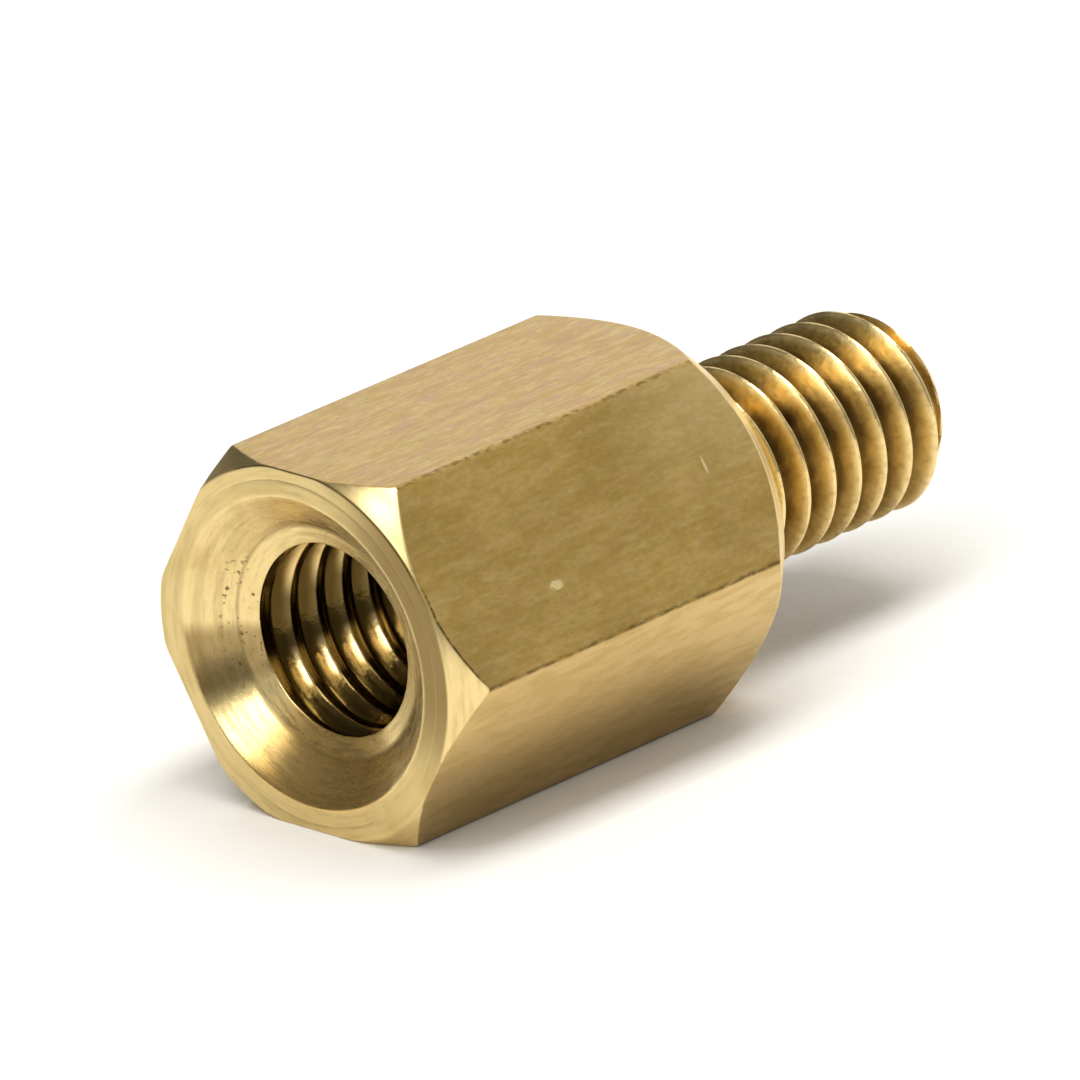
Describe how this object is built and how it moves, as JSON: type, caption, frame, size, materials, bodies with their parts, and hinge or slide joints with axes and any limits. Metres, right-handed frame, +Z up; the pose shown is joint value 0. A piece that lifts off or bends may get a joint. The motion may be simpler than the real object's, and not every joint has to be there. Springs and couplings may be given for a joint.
{
  "type": "hex standoff",
  "caption": "Male-female hex standoff in brass: a chamfered hex body with a countersunk tapped hole in one end and a threaded stud with a chamfered tip on the other.",
  "frame": {"origin": "on the surface that it lies on, under the axis and the middle of its length", "axes": "+X along the axis towards the stud, +Z up, square to the hex flat that it lies on"},
  "size_m": [0.016, 0.008, 0.007],
  "materials": {
    "brass": "drawn hex bar with fine lengthwise marks, ends and countersink turned, threads cut, slightly tarnished"
  },
  "bodies": {
    "root": {"standoff": "brass"}
  },
  "joints": []
}
